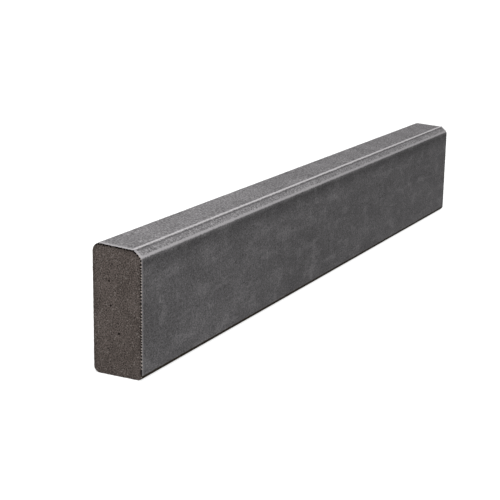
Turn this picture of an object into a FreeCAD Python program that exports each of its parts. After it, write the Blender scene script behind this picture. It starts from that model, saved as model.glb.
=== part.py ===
# Concrete sleeper: one pressed block of dark concrete, standing on its narrow long edge.
import FreeCAD, Part

import math
import os

import Sketcher
from FreeCAD import Vector

doc = FreeCAD.newDocument("ConcreteSleeper")

# Driving dimensions in millimetres. X runs along the sleeper, Y through its thickness with the
# chamfered face at -Y, and Z up from the edge that it stands on.
sizes = {
    "sleeperLength": 1200.0,
    "sleeperHeight": 180.0,     # at the rounded back edge, where the sloping top is highest
    "sleeperThickness": 76.0,
    "topFall": 3.5,             # the top slopes down this much from the back corner to its lip
    "chamferWidth": 11.0,       # from the chamfered face back to the lip
    "chamferDepth": 11.0,       # from the lip down to where the slope meets the face
    "lipDrop": 1.4,             # small upright step between the lip and the slope
    "lipRadius": 0.7,           # worn rim of that step
    "chamferFootRadius": 8.0,   # soft turn from the slope into the face
    "topBackRadius": 11.5,
    "bottomBackRadius": 9.5,
    "bottomFrontRadius": 7.5,
}

sheet = doc.addObject("Spreadsheet::Sheet", "Sizes")
for row, (alias, value) in enumerate(sizes.items(), start=1):
    cell = "A{}".format(row)
    sheet.set(cell, str(value))
    sheet.setAlias(cell, alias)
doc.recompute()


def originPlane(body, role):
    """The body's own origin plane that has this role."""
    return next(plane for plane in body.Origin.OriginFeatures if plane.Role == role)


def backCornerHeight():
    """Height of the sharp back corner, which comes down to sleeperHeight once it is rounded."""
    slope = math.atan(sizes["topFall"] / (sizes["sleeperThickness"] - sizes["chamferWidth"]))
    return sizes["sleeperHeight"] + sizes["topBackRadius"] * (math.tan(math.pi / 4 + slope / 2) - 1)


BACK_CORNER_EXPRESSION = (
    "Sizes.sleeperHeight + Sizes.topBackRadius * (tan(45 deg + atan(Sizes.topFall"
    " / (Sizes.sleeperThickness - Sizes.chamferWidth)) / 2) - 1)"
)


def addSection(body):
    """Cross-section with sharp corners, in the YZ plane, centred on Y and standing on Z = 0."""
    sketch = body.newObject("Sketcher::SketchObject", "Section")
    sketch.AttachmentSupport = [(originPlane(body, "YZ_Plane"), "")]
    sketch.MapMode = "FlatFace"

    half = sizes["sleeperThickness"] / 2
    top = backCornerHeight()
    lip = sizes["chamferWidth"] - half
    lipTop = top - sizes["topFall"]
    corners = [
        Vector(-half, 0, 0),
        Vector(half, 0, 0),
        Vector(half, top, 0),
        Vector(lip, lipTop, 0),
        Vector(lip, lipTop - sizes["lipDrop"], 0),
        Vector(-half, lipTop - sizes["chamferDepth"], 0),
    ]
    bottom, back, topEdge, lipStep, slope, face = range(len(corners))
    for start, end in zip(corners, corners[1:] + corners[:1]):
        sketch.addGeometry(Part.LineSegment(start, end), False)
    for line in range(len(corners)):
        following = (line + 1) % len(corners)
        sketch.addConstraint(Sketcher.Constraint("Coincident", line, 2, following, 1))
    sketch.addConstraint(Sketcher.Constraint("Horizontal", bottom))
    for line in (back, lipStep, face):
        sketch.addConstraint(Sketcher.Constraint("Vertical", line))

    # The bottom line's two ends are level with each other and equally far from the origin.
    sketch.addConstraint(Sketcher.Constraint("Symmetric", bottom, 1, bottom, 2, -1, 1))
    dimensions = {
        "thickness": (Sketcher.Constraint("DistanceX", bottom, 1, bottom, 2, 2 * half),
                      "Sizes.sleeperThickness"),
        "backCorner": (Sketcher.Constraint("DistanceY", back, 1, back, 2, top),
                       BACK_CORNER_EXPRESSION),
        "fall": (Sketcher.Constraint("DistanceY", topEdge, 2, topEdge, 1, sizes["topFall"]),
                 "Sizes.topFall"),
        "slopeWidth": (Sketcher.Constraint("DistanceX", slope, 2, slope, 1, sizes["chamferWidth"]),
                       "Sizes.chamferWidth"),
        "step": (Sketcher.Constraint("DistanceY", lipStep, 2, lipStep, 1, sizes["lipDrop"]),
                 "Sizes.lipDrop"),
        "faceTop": (Sketcher.Constraint("DistanceY", slope, 2, topEdge, 2, sizes["chamferDepth"]),
                    "Sizes.chamferDepth"),
    }
    for name, (constraint, expression) in dimensions.items():
        sketch.renameConstraint(sketch.addConstraint(constraint), name)
        sketch.setExpression("Constraints." + name, expression)
    return sketch


def longEdge(shape, y, z):
    """Name of the straight edge that runs along the sleeper through this point of the section."""
    for number, edge in enumerate(shape.Edges, start=1):
        start, end = (vertex.Point for vertex in edge.Vertexes)
        alongX = abs(start.y - end.y) < 1e-6 and abs(start.z - end.z) < 1e-6
        if alongX and abs(start.y - y) < 1e-6 and abs(start.z - z) < 1e-6:
            return "Edge{}".format(number)
    raise ValueError("no long edge at y={} z={}".format(y, z))


def roundEdge(body, name, y, z, radiusAlias):
    """Round the long edge at this point of the section with a radius from the sheet."""
    base = body.Tip
    fillet = body.newObject("PartDesign::Fillet", name)
    fillet.Base = (base, [longEdge(base.Shape, y, z)])
    fillet.setExpression("Radius", "Sizes." + radiusAlias)
    doc.recompute()
    return fillet


def makeSleeper():
    """The whole block: the section padded both ways along X, then its long edges rounded."""
    body = doc.addObject("PartDesign::Body", "Sleeper")
    body.Label = "sleeper"
    body.Placement = FreeCAD.Placement(Vector(0, 0, 0), FreeCAD.Rotation())

    section = addSection(body)
    doc.recompute()
    block = body.newObject("PartDesign::Pad", "Block")
    block.Profile = section
    block.Midplane = True
    block.setExpression("Length", "Sizes.sleeperLength")
    section.Visibility = False
    doc.recompute()

    half = sizes["sleeperThickness"] / 2
    top = backCornerHeight()
    lip = sizes["chamferWidth"] - half
    lipTop = top - sizes["topFall"]
    roundEdge(body, "TopBackEdge", half, top, "topBackRadius")
    roundEdge(body, "BottomBackEdge", half, 0, "bottomBackRadius")
    roundEdge(body, "BottomFrontEdge", -half, 0, "bottomFrontRadius")
    roundEdge(body, "ChamferFoot", -half, lipTop - sizes["chamferDepth"], "chamferFootRadius")
    roundEdge(body, "LipRim", lip, lipTop, "lipRadius")
    return body


subParts = [makeSleeper()]

for item in doc.Objects:
    if "Invalid" in item.State or "Error" in item.State:
        raise RuntimeError("{} did not build: {}".format(item.Label, item.State))
for subPart in subParts:
    if subPart.Shape.isNull() or not subPart.Shape.isValid() or len(subPart.Shape.Solids) != 1:
        raise RuntimeError("{} is not one valid solid".format(subPart.Label))

os.makedirs("parts", exist_ok=True)
for subPart in subParts:
    subPart.Shape.exportStep(os.path.join("parts", subPart.Label + ".step"))
    box = subPart.Shape.BoundBox
    print(subPart.Label, "mm:", round(box.XLength, 3), round(box.YLength, 3), round(box.ZLength, 3),
          "lowest", round(box.ZMin, 3), "litres", round(subPart.Shape.Volume / 1e6, 3))
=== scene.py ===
import math
import random

import bmesh
import bpy
import numpy as np
from mathutils import Matrix, Vector, geometry, noise


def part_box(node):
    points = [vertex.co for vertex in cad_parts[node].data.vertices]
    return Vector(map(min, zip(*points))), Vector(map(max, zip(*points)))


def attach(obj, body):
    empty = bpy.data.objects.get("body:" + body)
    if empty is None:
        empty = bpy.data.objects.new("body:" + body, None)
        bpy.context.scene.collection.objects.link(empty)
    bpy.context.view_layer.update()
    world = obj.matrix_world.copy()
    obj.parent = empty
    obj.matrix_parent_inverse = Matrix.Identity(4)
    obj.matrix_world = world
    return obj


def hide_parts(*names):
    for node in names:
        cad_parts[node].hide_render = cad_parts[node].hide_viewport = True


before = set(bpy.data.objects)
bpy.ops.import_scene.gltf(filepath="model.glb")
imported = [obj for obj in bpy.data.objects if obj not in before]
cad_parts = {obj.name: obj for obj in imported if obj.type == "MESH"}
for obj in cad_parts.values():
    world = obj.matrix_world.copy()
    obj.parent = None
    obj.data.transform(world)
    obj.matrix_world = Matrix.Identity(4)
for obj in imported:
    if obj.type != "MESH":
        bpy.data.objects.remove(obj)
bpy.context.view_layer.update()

low, high = (Vector(corner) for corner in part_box("sleeper"))
middle = (low + high) / 2
halfLength = (high.x - low.x) / 2
faceY, backY, topZ = low.y, high.y, high.z
print("frame loaded")


# camera

cameraView = {
    "turn": -62.93,       # degrees round the sleeper, from its chamfered face towards its left end
    "tilt": 14.54,        # degrees above level
    "roll": 0.97,
    "distance": 1.9892,
    "aimAlong": -0.2216,  # metres from the middle of the block
    "aimUp": -0.0011,
    "lens": 91.63,
    "sensor": 36.0,
}


def placeCamera(view):
    turn, tilt = math.radians(view["turn"]), math.radians(view["tilt"])
    back = Vector((math.sin(turn) * math.cos(tilt), -math.cos(turn) * math.cos(tilt), math.sin(tilt)))
    aim = middle + Vector((view["aimAlong"], 0, view["aimUp"]))
    data = bpy.data.cameras.new("camera")
    data.lens = view["lens"]
    data.sensor_width = view["sensor"]
    data.clip_end = 100
    camera = bpy.data.objects.new("camera", data)
    bpy.context.scene.collection.objects.link(camera)
    facing = back.to_track_quat("Z", "Y").to_matrix().to_4x4()
    camera.matrix_world = (
        Matrix.Translation(aim + back * view["distance"])
        @ facing
        @ Matrix.Rotation(math.radians(view["roll"]), 4, "Z")
    )
    bpy.context.scene.camera = camera


placeCamera(cameraView)


# node helpers

def addNode(tree, kind, inputs=None, **settings):
    node = tree.nodes.new(kind)
    for name, value in settings.items():
        setattr(node, name, value)
    for name, value in (inputs or {}).items():
        socket = node.inputs[name]
        if isinstance(value, bpy.types.NodeSocket):
            tree.links.new(value, socket)
        else:
            socket.default_value = value
    return node


def compute(tree, operation, first, second=0.0, clamp=False):
    node = addNode(tree, "ShaderNodeMath", {0: first, 1: second}, operation=operation, use_clamp=clamp)
    return node.outputs[0]


def multiply(tree, first, *others):
    for other in others:
        first = compute(tree, "MULTIPLY", first, other)
    return first


def splitAxes(tree, place):
    return addNode(tree, "ShaderNodeSeparateXYZ", {"Vector": place}).outputs


def blendColour(tree, factor, first, second, mode="MIX"):
    node = addNode(tree, "ShaderNodeMix", data_type="RGBA", blend_type=mode)
    for index, value in ((0, factor), (6, first), (7, second)):
        if isinstance(value, bpy.types.NodeSocket):
            tree.links.new(value, node.inputs[index])
        else:
            node.inputs[index].default_value = value
    return node.outputs[2]


def fadeColour(tree, colour, factor):
    shade = addNode(tree, "ShaderNodeCombineColor", {"Red": factor, "Green": factor, "Blue": factor})
    return blendColour(tree, 1.0, colour, shade.outputs[0], "MULTIPLY")


def remap(tree, value, fromLow, fromHigh, toLow=0.0, toHigh=1.0):
    node = addNode(
        tree,
        "ShaderNodeMapRange",
        {"Value": value, "From Min": fromLow, "From Max": fromHigh, "To Min": toLow, "To Max": toHigh},
    )
    return node.outputs["Result"]


def layOver(tree, colour, mask, strength, tone):
    return blendColour(tree, multiply(tree, mask, strength), colour, tone)


def newGroup(name, inputs, outputs):
    group = bpy.data.node_groups.new(name, "ShaderNodeTree")
    for socketName, (kind, default) in inputs.items():
        socket = group.interface.new_socket(socketName, in_out="INPUT", socket_type=kind)
        if default is not None:
            socket.default_value = default
    for socketName, kind in outputs.items():
        group.interface.new_socket(socketName, in_out="OUTPUT", socket_type=kind)
    start = group.nodes.new("NodeGroupInput")
    end = group.nodes.new("NodeGroupOutput")
    return group, start.outputs, end.inputs


floatSocket, vectorSocket = "NodeSocketFloat", "NodeSocketVector"


# effects that the finishes share

grainShape = {
    "detail": 3.0, "roughness": 0.65, "contrast": (0.3, 0.7),
    "stoneScale": 0.55,                                # stones are about twice as large as the sand
    "stoneEdge": (0.18, 0.42),
    "palePick": (0.80, 0.92), "darkPick": (0.82, 0.94),  # the share of the stones that shows
}
cloudShape = {"detail": 5.0, "roughness": 0.58, "contrast": (0.32, 0.68)}
biteShape = {"detail": 2.0, "roughness": 0.6}


def addNoise(tree, place, size, shape, warp=0.0):
    scale = compute(tree, "DIVIDE", 1.0, size)
    return addNode(tree, "ShaderNodeTexNoise",
                   {"Vector": place, "Scale": scale, "Detail": shape["detail"],
                    "Roughness": shape["roughness"], "Distortion": warp}).outputs["Fac"]


def makeGrainGroup(shape):
    group, given, result = newGroup(
        "concreteGrain",
        {"Vector": (vectorSocket, None), "Size": (floatSocket, 0.002)},
        {"Tone": floatSocket, "Pale Grains": floatSocket, "Dark Grains": floatSocket, "Height": floatSocket},
    )
    fine = addNoise(group, given["Vector"], given["Size"], shape)
    stoneScale = multiply(group, compute(group, "DIVIDE", 1.0, given["Size"]), shape["stoneScale"])
    stones = addNode(group, "ShaderNodeTexVoronoi",
                     {"Vector": given["Vector"], "Scale": stoneScale, "Randomness": 1.0})
    pick = addNode(group, "ShaderNodeSeparateColor", {"Color": stones.outputs["Color"]}).outputs
    core = remap(group, stones.outputs["Distance"], *shape["stoneEdge"], 1.0, 0.0)
    pale = remap(group, pick["Red"], *shape["palePick"])
    dark = remap(group, pick["Green"], *shape["darkPick"])
    group.links.new(remap(group, fine, *shape["contrast"]), result["Tone"])
    group.links.new(multiply(group, core, pale), result["Pale Grains"])
    group.links.new(multiply(group, core, dark), result["Dark Grains"])
    group.links.new(fine, result["Height"])
    return group


def makeCloudGroup(shape):
    group, given, result = newGroup(
        "cloudyTone",
        {"Vector": (vectorSocket, None), "Size": (floatSocket, 0.08), "Warp": (floatSocket, 0.6)},
        {"Tone": floatSocket},
    )
    soft = addNoise(group, given["Vector"], given["Size"], shape, given["Warp"])
    group.links.new(remap(group, soft, *shape["contrast"]), result["Tone"])
    return group


def makeRaggedBandGroup(shape):
    # 1 within the width of a line and fading out past it, with bites taken from its edge
    group, given, result = newGroup(
        "raggedBand",
        {"Vector": (vectorSocket, None), "Distance": (floatSocket, 0.0), "Width": (floatSocket, 0.002),
         "Softness": (floatSocket, 0.001), "Raggedness": (floatSocket, 0.001),
         "Bite Size": (floatSocket, 0.004)},
        {"Mask": floatSocket},
    )
    bites = compute(group, "SUBTRACT", addNoise(group, given["Vector"], given["Bite Size"], shape), 0.5)
    shift = multiply(group, bites, given["Raggedness"])
    reach = compute(group, "ADD", compute(group, "ABSOLUTE", given["Distance"]), shift)
    past = compute(group, "SUBTRACT", reach, given["Width"])
    faded = compute(group, "DIVIDE", past, given["Softness"])
    group.links.new(compute(group, "SUBTRACT", 1.0, faded, clamp=True), result["Mask"])
    return group


grainGroup = makeGrainGroup(grainShape)
cloudGroup = makeCloudGroup(cloudShape)
bandGroup = makeRaggedBandGroup(biteShape)


def useGroup(tree, group, **inputs):
    node = tree.nodes.new("ShaderNodeGroup")
    node.node_tree = group
    for name, value in inputs.items():
        socket = node.inputs[name.replace("_", " ")]
        if isinstance(value, bpy.types.NodeSocket):
            tree.links.new(value, socket)
        else:
            socket.default_value = value
    return node.outputs


def cloudTone(tree, place, size, warp):
    return useGroup(tree, cloudGroup, Vector=place, Size=size, Warp=warp)["Tone"]


def raggedLine(tree, place, distance, width, look):
    line = useGroup(tree, bandGroup, Vector=place, Distance=distance, Width=width,
                    Softness=look["softness"], Raggedness=look["raggedness"], Bite_Size=look["biteSize"])
    return line["Mask"]


def readAttribute(tree, name):
    return addNode(tree, "ShaderNodeAttribute", attribute_name=name).outputs["Fac"]


def grey(level):
    # the mix dries a little towards violet
    return (level * 1.01, level * 0.975, level, 1.0)


def startMaterial(name, roughness, specular):
    material = bpy.data.materials.new(name)
    material.use_nodes = True
    tree = material.node_tree
    shader = tree.nodes["Principled BSDF"]
    shader.inputs["Roughness"].default_value = roughness
    shader.inputs["Specular IOR Level"].default_value = specular
    place = addNode(tree, "ShaderNodeTexCoord").outputs["Object"]
    return material, tree, shader, place


def addBump(tree, shader, height, depth):
    bump = addNode(tree, "ShaderNodeBump", {"Height": height, "Distance": depth, "Strength": 1.0})
    tree.links.new(bump.outputs["Normal"], shader.inputs["Normal"])


# the lines that run over more than one finish

paleFootBand = {
    "above": 0.0014, "width": 0.0012, "softness": 0.0014, "raggedness": 0.0042, "biteSize": 0.0034,
    "tone": 0.35, "strength": 0.8,
}


# a pale ragged band along the foot of the slope
def addPaleFootBand(tree, place, colour, look):
    fromBand = compute(tree, "SUBTRACT", readAttribute(tree, "fromFoot"), look["above"])
    paleBand = raggedLine(tree, place, fromBand, look["width"], look)
    return layOver(tree, colour, paleBand, look["strength"], grey(look["tone"]))


brokenRim = {
    "softness": 0.0007, "raggedness": 0.0034, "biteSize": 0.0036,
    "unevenness": 1.3, "unevenSize": 0.0075,
    "wholeTo": 0.002, "wholeFrom": 0.010,  # the back and bottom arrises stay whole this far in
    "richDepth": 0.016, "richFullDepth": 0.004, "richShift": 0.8,  # along the top torn bits run together
    "tornWave": (-0.55, 0.25), "wholeWave": (0.0, -0.8),
    "crumbTone": (0.50, 0.44, 0.40, 1.0), "crumbStrength": 0.95,
}


def toothWave(tree, place, look, wave):
    # the arris of an end is a row of torn bits and whole ones; the wave says which of them show, and how wide
    split = splitAxes(tree, place)
    turns = multiply(tree, readAttribute(tree, "tooth"), math.tau)
    uneven = useGroup(tree, grainGroup, Vector=place, Size=look["unevenSize"])["Tone"]
    shift = multiply(tree, compute(tree, "SUBTRACT", uneven, 0.5), look["unevenness"])
    rich = remap(tree, split["Z"], high.z - look["richDepth"], high.z - look["richFullDepth"],
                 0.0, look["richShift"])
    height = compute(tree, "ADD", compute(tree, "COSINE", turns), compute(tree, "ADD", shift, rich))
    fromWhole = compute(tree, "MINIMUM", compute(tree, "SUBTRACT", backY, split["Y"]), split["Z"])
    return multiply(tree, remap(tree, height, *wave),
                    remap(tree, fromWhole, look["wholeTo"], look["wholeFrom"]))


def rimBand(tree, place, look, width, inset=0.0):
    fromMiddle = compute(tree, "SUBTRACT", readAttribute(tree, "fromRim"), inset)
    return raggedLine(tree, place, fromMiddle, width, look)


def addCrumbs(tree, place, colour, look, width):
    # pale whole bits of the arris, between the torn ones
    whole = toothWave(tree, place, look, look["wholeWave"])
    crumbs = multiply(tree, rimBand(tree, place, look, width), whole)
    return layOver(tree, colour, crumbs, look["crumbStrength"], look["crumbTone"])


# finishes

mouldSkin = {
    "tone": 0.116, "darkTone": 0.084, "paleTone": 0.165, "paleStrength": 0.6,
    "lyingStretch": (0.45, 1.0, 1.0), "drawnStretch": (1.0, 1.0, 0.16),
    "cloudSize": 0.070, "cloudWarp": 1.2, "patchSize": 0.020, "patchWarp": 0.5,
    "streakSize": 0.007, "streakWarp": 0.2, "streakFade": (0.94, 1.06), "streakHeight": 0.3,
    "grainSize": 0.0021, "grainFade": (0.44, 1.56), "coarseSize": 0.0048, "coarseFade": (0.74, 1.26),
    "wispSize": 0.020, "wispWarp": 1.8, "wispWidth": 0.045, "wispFade": 1.22,
    # shadedTone, shadedFrom and shadedReach set the painted shade under the slope
    "shadedTone": 0.59, "shadedFrom": 0.003, "shadedReach": 0.028, "turnFade": 1.80, "turnReach": 0.0068,
    "grainTone": 0.20, "grainStrength": 0.25,
    "burrTone": 0.20, "darkRimTone": 0.030, "burrWidth": 0.0032, "burrStrength": 0.75, "crumbWidth": 0.0006,
    # a dark brown line along the bottom edges, painted shade where the rounding turns under
    "bottomShade": {"height": 0.0066, "softness": 0.0012, "raggedness": 0.0014, "biteSize": 0.006,
             "tone": (0.0150, 0.0102, 0.0046, 1.0)},
    "roughness": 0.85, "specular": 0.06, "bumpDepth": 0.0003,
}


def makeMouldSkin(look):
    material, tree, shader, place = startMaterial("mouldSkin", look["roughness"], look["specular"])
    split = splitAxes(tree, place)
    lying = addNode(tree, "ShaderNodeMapping", {"Vector": place, "Scale": look["lyingStretch"]}).outputs[0]
    drawn = addNode(tree, "ShaderNodeMapping", {"Vector": place, "Scale": look["drawnStretch"]}).outputs[0]
    clouds = cloudTone(tree, lying, look["cloudSize"], look["cloudWarp"])
    patches = cloudTone(tree, lying, look["patchSize"], look["patchWarp"])
    streaks = cloudTone(tree, drawn, look["streakSize"], look["streakWarp"])
    grain = useGroup(tree, grainGroup, Vector=place, Size=look["grainSize"])
    coarse = useGroup(tree, grainGroup, Vector=place, Size=look["coarseSize"])

    colour = blendColour(tree, clouds, grey(look["darkTone"]), grey(look["tone"]))
    pale = remap(tree, patches, 0.5, 1.0)
    colour = layOver(tree, colour, pale, look["paleStrength"], grey(look["paleTone"]))
    # thin curled wisps of paler paste, thick in some patches and gone in others
    wispNoise = cloudTone(tree, lying, look["wispSize"], look["wispWarp"])
    fromLine = compute(tree, "ABSOLUTE", compute(tree, "SUBTRACT", wispNoise, 0.5))
    wisps = multiply(tree, remap(tree, fromLine, 0.0, look["wispWidth"], 1.0, 0.0), clouds)
    fade = multiply(
        tree,
        remap(tree, streaks, 0.0, 1.0, *look["streakFade"]),
        remap(tree, grain["Tone"], 0.0, 1.0, *look["grainFade"]),
        remap(tree, coarse["Tone"], 0.0, 1.0, *look["coarseFade"]),
        remap(tree, wisps, 0.0, 1.0, 1.0, look["wispFade"]),
    )
    # painted shade, darkest just under the slope
    fromFoot = readAttribute(tree, "fromFoot")
    paintedShadeUnderSlope = remap(tree, fromFoot, -look["shadedFrom"], -look["shadedReach"], look["shadedTone"], 1.0)
    turning = remap(tree, fromFoot, 0.0, -look["turnReach"], look["turnFade"], 1.0)
    colour = fadeColour(tree, colour, multiply(tree, fade, multiply(tree, paintedShadeUnderSlope, turning)))
    colour = layOver(tree, colour, grain["Pale Grains"], look["grainStrength"], grey(look["grainTone"]))
    colour = addPaleFootBand(tree, place, colour, paleFootBand)

    # a thin burr stands pale along the left end, and the line is dark along the right one
    rightSide = remap(tree, split["X"], -0.01, 0.01)
    rimTone = blendColour(tree, rightSide, grey(look["burrTone"]), grey(look["darkRimTone"]))
    burr = rimBand(tree, place, brokenRim, look["burrWidth"])
    colour = layOver(tree, colour, burr, look["burrStrength"], rimTone)
    colour = addCrumbs(tree, place, colour, brokenRim, look["crumbWidth"])

    # a dark brown line along the bottom edges: painted shade where the rounding turns under, in the brown of
    # the mix
    bottomShade = raggedLine(tree, place, split["Z"], look["bottomShade"]["height"], look["bottomShade"])
    colour = blendColour(tree, bottomShade, colour, look["bottomShade"]["tone"])
    tree.links.new(colour, shader.inputs["Base Color"])
    relief = compute(tree, "ADD", grain["Height"], multiply(tree, streaks, look["streakHeight"]))
    addBump(tree, shader, relief, look["bumpDepth"])
    return material


pressedTop = {
    "tone": 0.206, "darkTone": 0.160, "cloudSize": 0.06, "cloudWarp": 0.8, "sideFade": (0.96, 1.06),
    "grainSize": 0.0027, "grainFade": (0.28, 1.72),
    "paleGrain": 0.44, "paleStrength": 0.5, "darkGrain": 0.05, "darkStrength": 0.6,
    "slopeFade": (0.97, 1.18), "slopeTop": 0.002, "slopeLength": 0.0125, "slopeSoftness": 0.0005,
    # painted shadow in the groove at the foot of the lip's step
    "stepShadow": {"middle": -0.0022, "width": 0.0008, "softness": 0.0009, "raggedness": 0.0008,
               "biteSize": 0.004, "tone": 0.095, "strength": 0.8},
    # a painted highlight along the lip
    "lip": {"middle": 0.0018, "width": 0.0025, "softness": 0.0010, "raggedness": 0.0026,
            "biteSize": 0.005, "tone": 0.58, "strength": (0.66, 1.0), "grainStrength": (0.55, 1.0),
            "grainFull": 0.7},
    "burrTone": 0.36, "burrWidth": 0.0050, "burrStrength": 0.75, "crumbWidth": 0.0010,
    "roughness": 0.9, "specular": 0.05, "bumpDepth": 0.0007,
}


def makePressedTop(look):
    material, tree, shader, place = startMaterial("pressedTop", look["roughness"], look["specular"])
    clouds = cloudTone(tree, place, look["cloudSize"], look["cloudWarp"])
    grain = useGroup(tree, grainGroup, Vector=place, Size=look["grainSize"])
    along = splitAxes(tree, place)["X"]
    # fromLip runs over the top from the lip's rim, and below zero down the slope
    fromLip = readAttribute(tree, "fromLip")
    colour = blendColour(tree, clouds, grey(look["darkTone"]), grey(look["tone"]))
    onSlope = remap(tree, fromLip, -look["slopeTop"] + look["slopeSoftness"],
                    -look["slopeTop"] - look["slopeSoftness"])
    downSlope = remap(tree, fromLip, -look["slopeTop"], -look["slopeLength"], *look["slopeFade"])
    slopeFade = addNode(tree, "ShaderNodeMix", {"Factor": onSlope, "A": 1.0, "B": downSlope}).outputs[0]
    grainFade = remap(tree, grain["Tone"], 0.0, 1.0, *look["grainFade"])
    sideFade = remap(tree, along, low.x, high.x, *look["sideFade"])
    colour = fadeColour(tree, colour, multiply(tree, grainFade, slopeFade, sideFade))
    colour = layOver(tree, colour, grain["Pale Grains"], look["paleStrength"], grey(look["paleGrain"]))
    colour = layOver(tree, colour, grain["Dark Grains"], look["darkStrength"], grey(look["darkGrain"]))

    # painted shadow at the foot of the lip's step
    stepShadow = look["stepShadow"]
    fromStepShadow = compute(tree, "SUBTRACT", fromLip, stepShadow["middle"])
    stepShadowMask = raggedLine(tree, place, fromStepShadow, stepShadow["width"], stepShadow)
    colour = layOver(tree, colour, stepShadowMask, stepShadow["strength"], grey(stepShadow["tone"]))
    # painted highlight along the lip, stronger towards the right
    lip = look["lip"]
    lipHighlight = raggedLine(tree, place, compute(tree, "SUBTRACT", fromLip, lip["middle"]), lip["width"], lip)
    lipHighlightStrength = multiply(tree, remap(tree, along, low.x, middle.x, *lip["strength"]),
                           remap(tree, grain["Tone"], 0.0, lip["grainFull"], *lip["grainStrength"]))
    colour = layOver(tree, colour, lipHighlight, lipHighlightStrength, grey(lip["tone"]))
    colour = addPaleFootBand(tree, place, colour, paleFootBand)
    burr = rimBand(tree, place, brokenRim, look["burrWidth"])
    colour = layOver(tree, colour, burr, look["burrStrength"], grey(look["burrTone"]))
    colour = addCrumbs(tree, place, colour, brokenRim, look["crumbWidth"])
    tree.links.new(colour, shader.inputs["Base Color"])
    addBump(tree, shader, grain["Height"], look["bumpDepth"])
    return material


castEnd = {
    "tone": (0.124, 0.103, 0.094, 1.0), "darkTone": (0.086, 0.071, 0.064, 1.0),
    "cloudSize": 0.030, "cloudWarp": 0.6, "grainSize": 0.0018, "grainFade": (0.10, 1.90),
    "paleGrain": (0.30, 0.27, 0.25, 1.0), "paleStrength": 0.5,
    "darkGrain": (0.030, 0.024, 0.020, 1.0), "darkStrength": 0.7,
    "shadedTone": 0.72, "shadedReach": 0.008,
    # rimTone is painted shade in the torn pits along the rim
    "rimTone": (0.006, 0.004, 0.003, 1.0), "rimStrength": 0.97, "rimInset": 0.0013, "rimWidth": 0.0014,
    # the pit colour is painted shade in the pores and pits
    "crumbWidth": 0.0013, "pitShade": (0.002, 0.002, 0.001, 1.0),
    "roughness": 0.95, "specular": 0.05, "bumpDepth": 0.0010,
}


def makeCastEnd(look):
    material, tree, shader, place = startMaterial("castEnd", look["roughness"], look["specular"])
    clouds = cloudTone(tree, place, look["cloudSize"], look["cloudWarp"])
    grain = useGroup(tree, grainGroup, Vector=place, Size=look["grainSize"])
    colour = blendColour(tree, clouds, look["darkTone"], look["tone"])
    # painted shade: the end is darker near its rim
    rimShade = remap(tree, readAttribute(tree, "fromRim"), 0.0, look["shadedReach"], look["shadedTone"], 1.0)
    grainFade = remap(tree, grain["Tone"], 0.0, 1.0, *look["grainFade"])
    colour = fadeColour(tree, colour, multiply(tree, rimShade, grainFade))
    colour = layOver(tree, colour, grain["Pale Grains"], look["paleStrength"], look["paleGrain"])
    colour = layOver(tree, colour, grain["Dark Grains"], look["darkStrength"], look["darkGrain"])
    # painted shade in the torn pits along the rim
    torn = multiply(tree, rimBand(tree, place, brokenRim, look["rimWidth"], look["rimInset"]),
                    toothWave(tree, place, brokenRim, brokenRim["tornWave"]))
    colour = layOver(tree, colour, torn, look["rimStrength"], look["rimTone"])
    colour = addCrumbs(tree, place, colour, brokenRim, look["crumbWidth"])
    # painted shade in the pores and pits
    colour = blendColour(tree, readAttribute(tree, "pit"), colour, look["pitShade"])
    tree.links.new(colour, shader.inputs["Base Color"])
    addBump(tree, shader, grain["Height"], look["bumpDepth"])
    return material


finishes = [makeMouldSkin(mouldSkin), makePressedTop(pressedTop), makeCastEnd(castEnd)]
skinIndex, topIndex, endIndex = range(len(finishes))
print("finishes made")


# the block

blockShape = {
    "topFall": 0.0035,        # from the sharp back corner to the lip
    "chamferWidth": 0.0110,
    "chamferDepth": 0.0110,
    "slopeCrown": 0.0006,     # the slope is this much proud of straight at its middle
    "slopeRadius": 0.0100,
    "lipDrop": 0.0014,
    "lipRadius": 0.0007,
    "footRadius": 0.0080,
    "topBackRadius": 0.0115,
    "bottomBackRadius": 0.0095,
    "bottomFrontRadius": 0.0075,
    "beadRise": 0.0004,       # the lip stands this much proud of the top behind it
    "beadWidth": 0.0036,
    "arcStep": 0.0012,        # spacing of the points on a rounded corner
    "endStep": 0.0006,        # first ring beside an end
    "stepGrowth": 1.25,
    "longestStep": 0.0046,
    "faceWave": 0.00018,      # depth of the skin's slow waves, and their size
    "faceWaveSize": 0.09,
    "topRough": 0.00040,
    "topRoughSize": 0.0065,
    "endRough": 0.00045,
    "endRoughSizes": (0.0035, 0.016),
    "endSunk": 0.0003,        # the end lies this far inside its rim
    "endRise": 0.002,         # its roughness starts this far from the rim
    "wearReach": 0.004,       # the long edges are chipped this near to an end
    "wearDepth": 0.0007,
    "wearSize": 0.0028,
    "tearDepth": 0.0005,
    "tearSize": 0.0024,
    "pitShade": 2.5,           # how fast a pit's painted shade goes fully dark
    "seed": 7,
}


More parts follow.
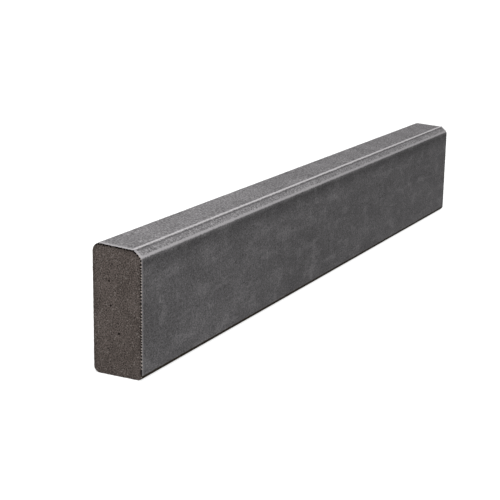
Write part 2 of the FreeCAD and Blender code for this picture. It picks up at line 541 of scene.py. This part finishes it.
def sectionCorners(shape):
    lip = faceY + shape["chamferWidth"]
    slope = math.atan2(shape["topFall"], backY - lip)
    backCorner = topZ + shape["topBackRadius"] * (math.tan(math.pi / 4 + slope / 2) - 1)
    lipTop = backCorner - shape["topFall"]
    rise = math.tan(slope)
    slopeTop = Vector((lip, lipTop - shape["lipDrop"]))
    foot = Vector((faceY, lipTop - shape["chamferDepth"]))
    run = (foot - slopeTop).normalized()
    crown = slopeTop.lerp(foot, 0.45) + Vector((run.y, -run.x)) * shape["slopeCrown"]
    beadEnd, beadTop = shape["beadWidth"], 0.4 * shape["beadWidth"]
    # y, z, radius, then the spacing of the points on the way to the next corner
    return [
        (faceY, low.z, shape["bottomFrontRadius"], 0.0032),
        (backY, low.z, shape["bottomBackRadius"], 0.0025),
        (backY, backCorner - shape["beadRise"], shape["topBackRadius"], 0.0014),
        (lip + beadEnd, lipTop + beadEnd * rise - shape["beadRise"], 0.0012, 0.0005),
        (lip + beadTop, lipTop + beadTop * rise, 0.0008, 0.0005),
        (lip, lipTop - 0.0001, shape["lipRadius"] / 2, 0.0004),
        (*slopeTop, 0.0002, 0.0010),
        (*crown, shape["slopeRadius"], 0.0010),
        (*foot, shape["footRadius"], 0.0018),
    ]


def roundedOutline(corners, arcStep):
    # walks the section once round, with an arc at each corner; each point has the corner that it comes after
    points = []
    count = len(corners)
    for index, (y, z, radius, spacing) in enumerate(corners):
        here = Vector((y, z))
        before = (Vector(corners[index - 1][:2]) - here).normalized()
        after = (Vector(corners[(index + 1) % count][:2]) - here).normalized()
        opening = before.angle(after)
        cut = radius / math.tan(opening / 2)
        centre = here + (before + after).normalized() * (radius / math.sin(opening / 2))
        start, end = here + before * cut, here + after * cut
        turn = math.pi - opening
        steps = max(2, round(radius * turn / arcStep))
        fromStart = (start - centre).angle_signed(end - centre)
        firstAngle = math.atan2(start.y - centre.y, start.x - centre.x)
        for step in range(steps + 1):
            angle = firstAngle - fromStart * step / steps
            points.append((centre.x + radius * math.cos(angle), centre.y + radius * math.sin(angle),
                           index))
        nextY, nextZ, nextRadius, _ = corners[(index + 1) % count]
        following = Vector(corners[(index + 2) % count][:2])
        nextHere = Vector((nextY, nextZ))
        nextOpening = (here - nextHere).angle(following - nextHere)
        lineEnd = nextHere + (here - nextHere).normalized() * (nextRadius / math.tan(nextOpening / 2))
        length = (lineEnd - end).length
        pieces = max(1, round(length / spacing))
        for step in range(1, pieces):
            at = end.lerp(lineEnd, step / pieces)
            points.append((at.x, at.y, index))
    return points


def stationsAlong(shape):
    # distances from an end to the middle, close together at the end
    distances = [0.0]
    step = shape["endStep"]
    while distances[-1] + step < halfLength:
        distances.append(distances[-1] + step)
        step = min(step * shape["stepGrowth"], shape["longestStep"])
    distances[-1] = halfLength
    left = [middle.x - halfLength + distance for distance in distances]
    right = [middle.x + halfLength - distance for distance in reversed(distances[:-1])]
    return left + right


outline = roundedOutline(sectionCorners(blockShape), blockShape["arcStep"])
stations = stationsAlong(blockShape)
ring = len(outline)
rim = np.array([(y, z) for y, z, _ in outline])
cornerOf = [corner for _, _, corner in outline]
following = np.roll(rim, -1, axis=0)
runLengths = np.concatenate([[0.0], np.cumsum(np.linalg.norm(following - rim, axis=1))])
around = runLengths[:-1]
tangents = following - np.roll(rim, 1, axis=0)
outward = np.stack([tangents[:, 1], -tangents[:, 0]], axis=1)
outward /= np.linalg.norm(outward, axis=1)[:, None]
topCorner, lipCorner, footCorner = 2, 5, 8
lipPlace = around[cornerOf.index(lipCorner)]
footPoints = [index for index, corner in enumerate(cornerOf) if corner == footCorner]
footEnd = next(index for index in footPoints if rim[index][0] <= faceY + 1e-6)
footMiddle = (footPoints[0] + footEnd) // 2
print("section points", ring, "stations", len(stations))


def roughness(x, y, z, size, depth):
    # always between 0 and depth, so that it only ever takes material away
    return depth * (0.5 + 0.5 * max(-1.0, min(1.0, noise.noise(Vector((x, y, z)) / size))))


def bodyRings(shape):
    # one ring of points for each station, worn inwards from the true section
    points = []
    for x in stations:
        fromEnd = halfLength - abs(x - middle.x)
        endWear = max(0.0, 1 - fromEnd / shape["wearReach"]) ** 2
        for index in range(ring):
            y, z = rim[index]
            corner = cornerOf[index]
            depth = roughness(x, y, z, shape["faceWaveSize"], shape["faceWave"])
            if topCorner <= corner < footCorner or (corner == footCorner and index <= footMiddle):
                depth += roughness(x, y, z, shape["topRoughSize"], shape["topRough"])
            depth += endWear * roughness(x, y, z, shape["wearSize"], shape["wearDepth"])
            inX = endWear * roughness(x + 3, y, z, shape["tearSize"], shape["tearDepth"])
            inX = math.copysign(inX, x - middle.x)
            inY, inZ = outward[index] * depth
            points.append((x - inX, y - inY, max(low.z, z - inZ)))
    return points


def placeInside(points):
    # how far each point lies inside the section, below zero outside it, and where along the rim it is nearest
    start, run = rim[None], (following - rim)[None]
    offset = points[:, None] - start
    share = np.clip((offset * run).sum(2) / (run ** 2).sum(2), 0, 1)
    gaps = np.linalg.norm(offset - share[..., None] * run, axis=2)
    nearest = gaps.argmin(1)
    rows = np.arange(len(points))
    gap = gaps[rows, nearest]
    along = around[nearest] + share[rows, nearest] * np.diff(runLengths)[nearest]
    crosses = (start[..., 1] > points[:, None, 1]) != (following[None, :, 1] > points[:, None, 1])
    safeRun = np.where(run[..., 1] == 0, 1e-12, run[..., 1])
    crossing = start[..., 0] + (points[:, None, 1] - start[..., 1]) / safeRun * run[..., 0]
    inside = (crosses & (points[:, None, 0] < crossing)).sum(1) % 2 == 1
    return np.where(inside, gap, -gap), along


endPores = [  # y, z, radius, depth on the left end
    (0.0128, 0.1296, 0.0019, 0.0028), (0.0105, 0.0964, 0.0017, 0.0026), (-0.0019, 0.0593, 0.0020, 0.0030),
    (-0.0001, 0.0729, 0.0010, 0.0015), (0.0153, 0.0365, 0.0012, 0.0017), (-0.0198, 0.0762, 0.0010, 0.0015),
]
strayPore = {
    "radius": (0.0007, 0.0015), "depth": (0.0012, 0.0022),
    "widthShare": 0.8, "aboveBottom": 0.015, "belowTop": 0.02,  # where on an end they may lie
}
rimTeeth = {
    "pitch": 0.0044, "pitchSpread": (0.65, 1.35), "inset": 0.0013, "insetSpread": (0.9, 1.3),
    "radius": 0.0014, "depth": 0.0022, "sizeSpread": (0.7, 1.15), "wholeReach": 0.006,
}
endFill = {
    "spacing": 0.0016, "jitter": 0.3, "rimGap": 0.0009,
    "pitRings": ((0.5, 5), (1.0, 7)),                       # share of a pit's radius, and points on it
    "pitRimGap": 0.0003, "pitClearance": 1.35,
}


def teethPits(look, draw):
    # small torn pits in a row just inside the rim of an end, and how far along the rim each one is
    pits, reaches = [], []
    reach = 0.0
    while reach < runLengths[-1] - look["pitch"] / 2:
        index = int(np.searchsorted(runLengths, reach, side="right")) - 1
        spot = rim[index] + (following[index] - rim[index]) * (reach - runLengths[index]) / (
            runLengths[index + 1] - runLengths[index])
        place = spot - outward[index] * look["inset"] * draw.uniform(*look["insetSpread"])
        size = draw.uniform(*look["sizeSpread"])
        if min(backY - place[0], place[1] - low.z) > look["wholeReach"]:
            pits.append((place[0], place[1], look["radius"] * size, look["depth"] * size))
        reaches.append(reach)
        reach += look["pitch"] * draw.uniform(*look["pitchSpread"])
    return pits, reaches


def strayPores(count, look, draw):
    return [
        (draw.uniform(faceY, backY) * look["widthShare"],
         draw.uniform(low.z + look["aboveBottom"], topZ - look["belowTop"]),
         draw.uniform(*look["radius"]), draw.uniform(*look["depth"]))
        for _ in range(count)
    ]


def endCap(pits, x, inwards, shape, fill, draw):
    # a triangle mesh over one end, finer round its pits; gives its points and faces, and for each point how
    # deep in a pit it is, how far from the rim, and where along the rim
    pitArray = np.array(pits)
    free = []
    for y, z, radius, _ in pits:
        free.append((y, z))
        for share, count in fill["pitRings"]:
            lead = draw.uniform(0, math.tau)
            angles = [lead + math.tau * step / count for step in range(count)]
            free += [(y + radius * share * math.cos(angle), z + radius * share * math.sin(angle))
                     for angle in angles]
    free = np.array(free)
    free = free[placeInside(free)[0] > fill["pitRimGap"]]
    spacing = fill["spacing"]
    jitter = fill["jitter"] * spacing
    rows = [
        (y + draw.uniform(-jitter, jitter), z + draw.uniform(-jitter, jitter))
        for y in np.arange(faceY, backY, spacing)
        for z in np.arange(low.z, topZ, spacing)
    ]
    rows = np.array(rows)
    rows = rows[placeInside(rows)[0] > fill["rimGap"]]
    fromPits = np.linalg.norm(rows[:, None] - pitArray[None, :, :2], axis=2)
    clear = (fromPits > pitArray[None, :, 2] * fill["pitClearance"]).all(1)
    inner = np.concatenate([free, rows[clear]])
    flat = [Vector(pair) for pair in np.concatenate([rim, inner])]
    edges = [(index, (index + 1) % ring) for index in range(ring)]
    found = geometry.delaunay_2d_cdt(flat, edges, [list(range(ring))], 1, 1e-7)
    places, triangles, sources = found[0], found[2], found[3]
    keep = [source[0] if source else -1 for source in sources]

    gap, along = placeInside(inner)
    points, capPitShades = [], []
    for (y, z), fromRim in zip(inner, gap):
        away = np.hypot(pitArray[:, 0] - y, pitArray[:, 1] - z) / pitArray[:, 2]
        hollow = np.clip(1 - away ** 2, 0, None)
        sunk = float((hollow * pitArray[:, 3]).max())
        grain = sum(roughness(x, y, z, size, shape["endRough"]) for size in shape["endRoughSizes"])
        rise = min(1.0, fromRim / shape["endRise"])
        points.append((x + inwards * (sunk + shape["endSunk"] + grain * rise), y, z))
        # painted shade in a pit, darker the deeper in it
        capPitShades.append(float(min(1.0, hollow.max() * shape["pitShade"])))
    return points, [tuple(keep[index] for index in triangle) for triangle in triangles], capPitShades, gap, along


def joinBlock(shape):
    draw = random.Random(shape["seed"])
    points = bodyRings(shape)
    bodyCount = len(points)
    faces, finishOf = [], []
    for row in range(len(stations) - 1):
        for index in range(ring):
            beside = (index + 1) % ring
            faces.append((row * ring + index, (row + 1) * ring + index, (row + 1) * ring + beside,
                          row * ring + beside))
            corner = cornerOf[index]
            onTop = topCorner <= corner < footCorner or (corner == footCorner and index < footMiddle)
            finishOf.append(topIndex if onTop else skinIndex)
    fromRim = [halfLength - abs(x - middle.x) for x in stations for _ in range(ring)]
    pitShades = [0.0] * bodyCount
    bodyTeeth, capTeeth = [], []
    ends = (
        (endPores + strayPores(5, strayPore, draw), stations[0], 1, 0),
        (strayPores(11, strayPore, draw), stations[-1], -1, (len(stations) - 1) * ring),
    )
    for pores, x, inwards, rimStart in ends:
        teeth, reaches = teethPits(rimTeeth, draw)
        capPoints, capFaces, capPitShades, gaps, along = endCap(pores + teeth, x, inwards, shape, endFill, draw)
        bodyTeeth.append(np.interp(around, reaches, range(len(reaches))))
        capTeeth.append(np.interp(along, reaches, range(len(reaches))))
        first = len(points)
        points += capPoints
        pitShades += capPitShades
        fromRim += list(gaps)
        for face in capFaces:
            faces.append(tuple(
                rimStart + index if index < ring else first + index - ring for index in face))
            finishOf.append(endIndex)
    mesh = bpy.data.meshes.new("sleeperBlock")
    mesh.from_pydata(points, [], faces)
    mesh.polygons.foreach_set("material_index", finishOf)

    lip = np.zeros(len(points))
    lip[:bodyCount] = np.tile(lipPlace - around, len(stations))
    foot = np.full(len(points), 1.0)
    foot[:bodyCount] = np.tile(around[footMiddle] - around, len(stations))
    tooth = np.concatenate([bodyTeeth[0] if x < middle.x else bodyTeeth[1] for x in stations] + capTeeth)
    fields = {"fromLip": lip, "fromFoot": foot, "fromRim": fromRim, "pit": pitShades, "tooth": tooth}
    for name, values in fields.items():
        layer = mesh.attributes.new(name, "FLOAT", "POINT")
        layer.data.foreach_set("value", np.array(values, dtype=np.float32))

    shell = bmesh.new()
    shell.from_mesh(mesh)
    bmesh.ops.recalc_face_normals(shell, faces=shell.faces)
    shell.to_mesh(mesh)
    shell.free()
    mesh.shade_smooth()
    mesh.set_sharp_from_angle(angle=math.radians(40))
    for finish in finishes:
        mesh.materials.append(finish)
    return mesh


block = bpy.data.objects.new("sleeperBlock", joinBlock(blockShape))
bpy.context.scene.collection.objects.link(block)
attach(block, "root")
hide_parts("sleeper")
print("block made with", sum(len(face.vertices) - 2 for face in block.data.polygons), "triangles")


# floor and light

studio = {
    "floorSize": 60.0, "floorGap": 0.0002, "floorWhite": 0.46, "floorGlow": 0.78, "floorBounce": 0.70,
    "sunStrength": 1.66, "sunTurn": -30.0, "sunTilt": 68.0, "sunSoftness": 50.0,
    "lampPower": 4.8, "lampSize": 0.5, "lampPlace": (-0.30, -0.15, 0.85),  # from the top of the left end
    "skyStrength": 0.38,
}


def seenDirectly(tree):
    # 1 for what the camera sees by itself or in a gloss or through glass
    path = addNode(tree, "ShaderNodeLightPath").outputs
    seen = compute(tree, "ADD", path["Is Camera Ray"], path["Is Glossy Ray"])
    return compute(tree, "ADD", seen, path["Is Transmission Ray"], clamp=True)


def layFloor(look):
    half = look["floorSize"] / 2
    mesh = bpy.data.meshes.new("floor")
    corners = [(-half, -half, 0), (half, -half, 0), (half, half, 0), (-half, half, 0)]
    mesh.from_pydata(corners, [], [(0, 1, 2, 3)])
    floor = bpy.data.objects.new("floor", mesh)
    floor.location.z = low.z - look["floorGap"]
    material = bpy.data.materials.new("floor")
    material.use_nodes = True
    tree = material.node_tree
    shader = tree.nodes["Principled BSDF"]
    shader.inputs["Roughness"].default_value = 1.0
    shader.inputs["Specular IOR Level"].default_value = 0.0
    seen = seenDirectly(tree)
    bounce, white = look["floorBounce"], look["floorWhite"]
    colour = blendColour(tree, seen, (bounce, bounce, bounce, 1.0), (white, white, white, 1.0))
    tree.links.new(colour, shader.inputs["Base Color"])
    # part of the floor's white is its own, so that the shadow at the block's foot stays faint
    shader.inputs["Emission Strength"].default_value = look["floorGlow"]
    glow = addNode(tree, "ShaderNodeCombineColor", {"Red": seen, "Green": seen, "Blue": seen})
    tree.links.new(glow.outputs[0], shader.inputs["Emission Color"])
    mesh.materials.append(material)
    bpy.context.scene.collection.objects.link(floor)


def lightStudio(look):
    data = bpy.data.lights.new("softSun", "SUN")
    data.energy = look["sunStrength"]
    data.angle = math.radians(look["sunSoftness"])
    sun = bpy.data.objects.new("softSun", data)
    turn, tilt = math.radians(look["sunTurn"]), math.radians(look["sunTilt"])
    towards = Vector((math.sin(turn) * math.cos(tilt), -math.cos(turn) * math.cos(tilt), math.sin(tilt)))
    sun.rotation_euler = towards.to_track_quat("Z", "Y").to_euler()
    bpy.context.scene.collection.objects.link(sun)

    # a small soft lamp over the left end, so that the far end falls off a little
    data = bpy.data.lights.new("nearLamp", "AREA")
    data.energy = look["lampPower"]
    data.size = look["lampSize"]
    lamp = bpy.data.objects.new("nearLamp", data)
    offset = Vector(look["lampPlace"])
    lamp.location = Vector((low.x, middle.y, high.z)) + offset
    lamp.rotation_euler = offset.to_track_quat("Z", "Y").to_euler()
    lamp.visible_camera = False
    bpy.context.scene.collection.objects.link(lamp)

    world = bpy.data.worlds.new("sky")
    world.use_nodes = True
    tree = world.node_tree
    background = tree.nodes["Background"]
    strength = remap(tree, seenDirectly(tree), 0.0, 1.0, look["skyStrength"], 1.0)
    tree.links.new(strength, background.inputs["Strength"])
    background.inputs["Color"].default_value = (1.0, 1.0, 1.0, 1.0)
    bpy.context.scene.world = world


layFloor(studio)
lightStudio(studio)
bpy.context.scene.view_settings.view_transform = "Standard"
print("studio lit")
